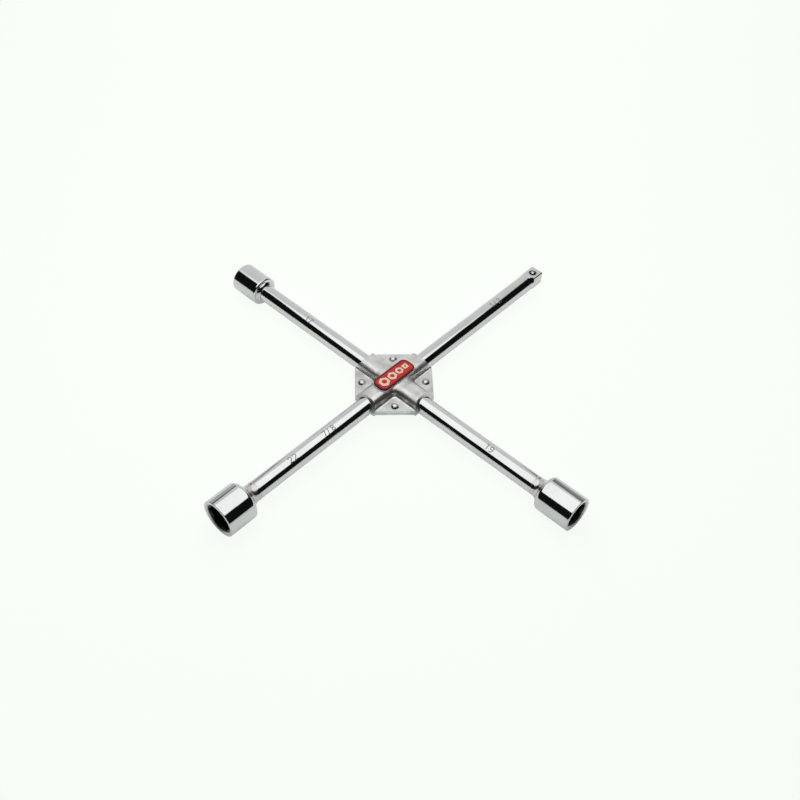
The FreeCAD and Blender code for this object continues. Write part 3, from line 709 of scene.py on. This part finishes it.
def on_bar(arm, middle, turn):
    """Point finder for a mark on a bar, turned this far round it. u runs along the bar and v round it."""
    def point_at(u, v, level):
        radius = BAR_R + (STAMP_PROUD if level else -STAMP_SUNK)
        angle = turn + v / BAR_R
        side, height = radius * math.sin(angle), radius * math.cos(angle)
        if arm == "+X":
            return (middle + u, side, height)
        if arm == "-X":
            return (-middle + u, side, height)
        if arm == "+Y":
            return (-side, middle + u, height)
        return (-side, -middle + u, height)
    return point_at


def add_stamps():
    """A size number on each arm, and the same size in inches on one of them."""
    for text, arm, middle in STAMPS:
        quads = []
        start = -(len(text) * DIGIT_STEP - DIGIT_GAP) / 2
        for i, letter in enumerate(text):
            for path in DIGITS[letter]:
                fitted = [((start + i * DIGIT_STEP + x) * STAMP_HEIGHT, (y - 0.5) * STAMP_HEIGHT)
                          for x, y in path]
                quads += stroke(finer(fitted), STAMP_HALF_STROKE)
        name = "stamp_" + text.replace("/", "_") + ("_inch" if "/" in text else "")
        slab(name, quads, on_bar(arm, middle, STAMP_LEAN), "stamp")


def add_spring():
    """The detent's spring as a piece of its own, with its own mesh, in place of the CAD node, which is
    hidden.
    """
    node = frame["nodes"]["detent_spring"]
    piece = bpy.data.objects.new("spring_coil", node.data.copy())
    bpy.context.collection.objects.link(piece)
    for slot in piece.material_slots:
        slot.material = MATERIALS["spring_steel"]
    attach(piece, BODY)
    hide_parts("detent_spring")
    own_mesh(piece)


FACE_TOP = 12.15 * MM         # badge enamel's surface beside the rim
FACE_HALF = 6.2 * MM          # half the enamel's width
FACE_CROWN = 0.25 * MM        # how much higher its middle line is
MARK_PROUD = 0.07 * MM
RING_QUADS = 48
BADGE_MARKS = [
    # name, sides, width across flats, radius of the hole, place along the badge, in mm
    ("badge_mark_22", 6, 9.0, 2.3, -12.0),
    ("badge_mark_19", 6, 7.8, 1.9, -2.3),
    ("badge_mark_17", 6, 6.8, 1.6, 6.3),
    ("badge_mark_drive", 4, 5.0, 0.9, 13.6),
]


def on_badge(u, v, level):
    """u along the badge (+Y), v across it (-X)."""
    crown = FACE_CROWN * (1 - (v / FACE_HALF) ** 2)
    return (-v, u, FACE_TOP + crown + (MARK_PROUD if level else -MARK_PROUD))


def ring_quads(centre, sides, flats, hole_r, turn):
    """Regular polygon with a round hole, in narrow quads."""
    quads, parts = [], RING_QUADS // sides
    corner_r = flats / 2 / math.cos(math.pi / sides)
    angles = [turn + math.tau * i / sides for i in range(sides + 1)]
    corners = [(corner_r * math.cos(angle), corner_r * math.sin(angle)) for angle in angles]
    for (ax, ay), (bx, by) in zip(corners, corners[1:]):
        edge = [(ax + (bx - ax) * i / parts, ay + (by - ay) * i / parts) for i in range(parts + 1)]
        for p, q in zip(edge, edge[1:]):
            inner = [(x * hole_r / math.hypot(x, y), y * hole_r / math.hypot(x, y)) for x, y in (p, q)]
            quads.append([(x + centre, y) for x, y in (inner[0], p, q, inner[1])])
    return quads


def add_badge_marks():
    """The wrench's four ends as pale marks: three hexagons getting smaller, and a square."""
    for name, sides, flats, hole_r, centre in BADGE_MARKS:
        turn = math.radians(30) if sides == 6 else math.radians(45)
        quads = ring_quads(centre * MM, sides, flats * MM, hole_r * MM, turn)
        slab(name, quads, on_badge, "badge_mark")


bpy.context.scene.view_settings.view_transform = "Standard"
add_camera()
add_world()
add_floor()
add_softbox()
add_top_sheet()
add_sheets()
dress_nodes()
add_stamps()
add_spring()
add_badge_marks()
